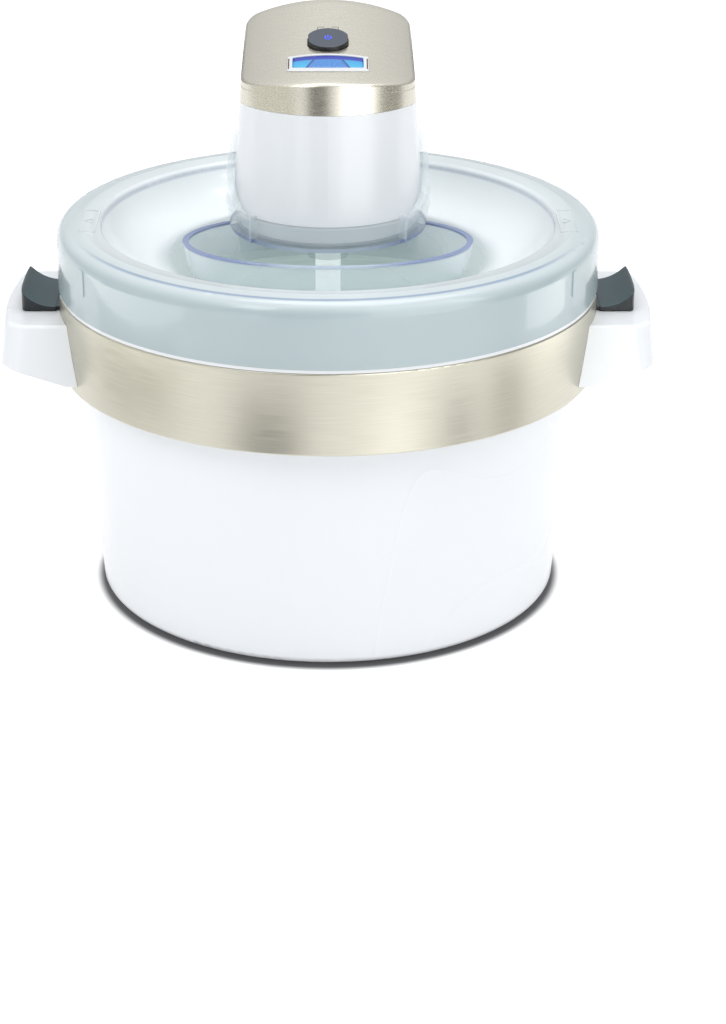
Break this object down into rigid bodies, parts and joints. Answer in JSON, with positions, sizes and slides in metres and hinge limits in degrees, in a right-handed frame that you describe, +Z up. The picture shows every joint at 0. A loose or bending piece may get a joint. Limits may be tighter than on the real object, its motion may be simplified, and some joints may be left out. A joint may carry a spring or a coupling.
{
  "type": "ice cream maker",
  "caption": "Round tub with a freezer bowl, clear lid with an oval filler funnel, and a lift-off motor unit with display and button that turns a paddle.",
  "frame": {"origin": "middle of the surface that the machine stands on", "axes": "+Z up, -Y front (display and filler funnel), +X to the right handle"},
  "size_m": [0.285, 0.236, 0.254],
  "materials": {
    "white_plastic": "satin white",
    "champagne_metal": "brushed champagne",
    "clear_plastic": "clear, slightly frosted",
    "window_plastic": "clear",
    "grey_plastic": "satin dark grey",
    "button_plastic": "satin grey",
    "soft_rubber": "matt black",
    "silicone": "matt",
    "aluminium": "satin",
    "steel": "zinc plated",
    "brass": "sintered",
    "gel": "clear blue freezing liquid",
    "gear_plastic": "natural acetal",
    "board": "green laminate",
    "display": "backlit blue",
    "armature": "laminated steel and copper"
  },
  "bodies": {
    "housing": {"outer_housing": "white_plastic", "trim_band": "champagne_metal", "handle_right": "white_plastic", "handle_left": "white_plastic", "handle_screws": "steel", "rubber_feet": "soft_rubber"},
    "freezer_bowl": {"bowl_outer_shell": "white_plastic", "bowl_liner": "aluminium", "coolant_gel": "gel", "gel_fill_plug": "grey_plastic", "bowl_rim_ring": "white_plastic", "lift_ear_right": "grey_plastic", "lift_ear_left": "grey_plastic", "ear_screws": "steel"},
    "seal_ring": {"lid_seal": "silicone"},
    "lid": {"lid": "clear_plastic"},
    "motor_unit": {"motor_housing": "white_plastic", "top_cover": "champagne_metal", "cover_screws": "steel", "display_bezel": "white_plastic", "display_window": "window_plastic", "lcd_panel": "display", "control_board": "board", "power_switch": "grey_plastic", "cord_inlet": "soft_rubber", "motor_can": "steel", "axle_pins": "steel", "shaft_bush": "brass", "gear_plate_lower": "steel", "gear_plate_upper": "steel", "gear_plate_posts": "steel"},
    "power_button": {"power_button": "button_plastic"},
    "rotor": {"rotor": "armature", "motor_pinion": "brass"},
    "gear_1": {"compound_gear_1": "gear_plastic"},
    "gear_2": {"compound_gear_2": "gear_plastic"},
    "output": {"output_gear": "gear_plastic", "drive_shaft": "steel", "shaft_clip": "steel"},
    "paddle": {"paddle": "white_plastic"}
  },
  "joints": [
    {"name": "bowl_lift", "type": "slide", "parent": "housing", "child": "freezer_bowl", "axis": [0, 0, 1], "range_m": [0, 0.15]},
    {"name": "lid_lift", "type": "slide", "parent": "freezer_bowl", "child": "seal_ring", "axis": [0, 0, 1], "range_m": [0, 0.14]},
    {"name": "lid_turn", "type": "hinge", "parent": "seal_ring", "child": "lid", "pos_m": [0, 0, 0.15], "axis": [0, 0, 1], "range_deg": [0, 10]},
    {"name": "motor_lift", "type": "slide", "parent": "lid", "child": "motor_unit", "axis": [0, 0, 1], "range_m": [0, 0.08]},
    {"name": "button_press", "type": "slide", "parent": "motor_unit", "child": "power_button", "axis": [0, 0.2375, -0.9714], "range_m": [0, 0.0012], "stiffness_N_per_m": 800, "springref_m": -0.001},
    {"name": "paddle_spin", "type": "hinge", "parent": "lid", "child": "paddle", "pos_m": [0, 0, 0.1], "axis": [0, 0, 1], "continuous": true},
    {"name": "output_spin", "type": "hinge", "parent": "motor_unit", "child": "output", "pos_m": [0, 0, 0.17], "axis": [0, 0, 1], "continuous": true},
    {"name": "gear_2_spin", "type": "hinge", "parent": "motor_unit", "child": "gear_2", "pos_m": [0.021, 0, 0.18], "axis": [0, 0, 1], "continuous": true},
    {"name": "gear_1_spin", "type": "hinge", "parent": "motor_unit", "child": "gear_1", "pos_m": [0.011, 0.01639, 0.185], "axis": [0, 0, 1], "continuous": true},
    {"name": "rotor_spin", "type": "hinge", "parent": "motor_unit", "child": "rotor", "pos_m": [-0.00366, 0.01105, 0.2], "axis": [0, 0, 1], "continuous": true}
  ],
  "couplings": [
    {"joint": "output_spin", "follows": "paddle_spin", "ratio": 1},
    {"joint": "gear_2_spin", "follows": "paddle_spin", "ratio": -2.5},
    {"joint": "gear_1_spin", "follows": "paddle_spin", "ratio": 7.5},
    {"joint": "rotor_spin", "follows": "paddle_spin", "ratio": -25}
  ]
}
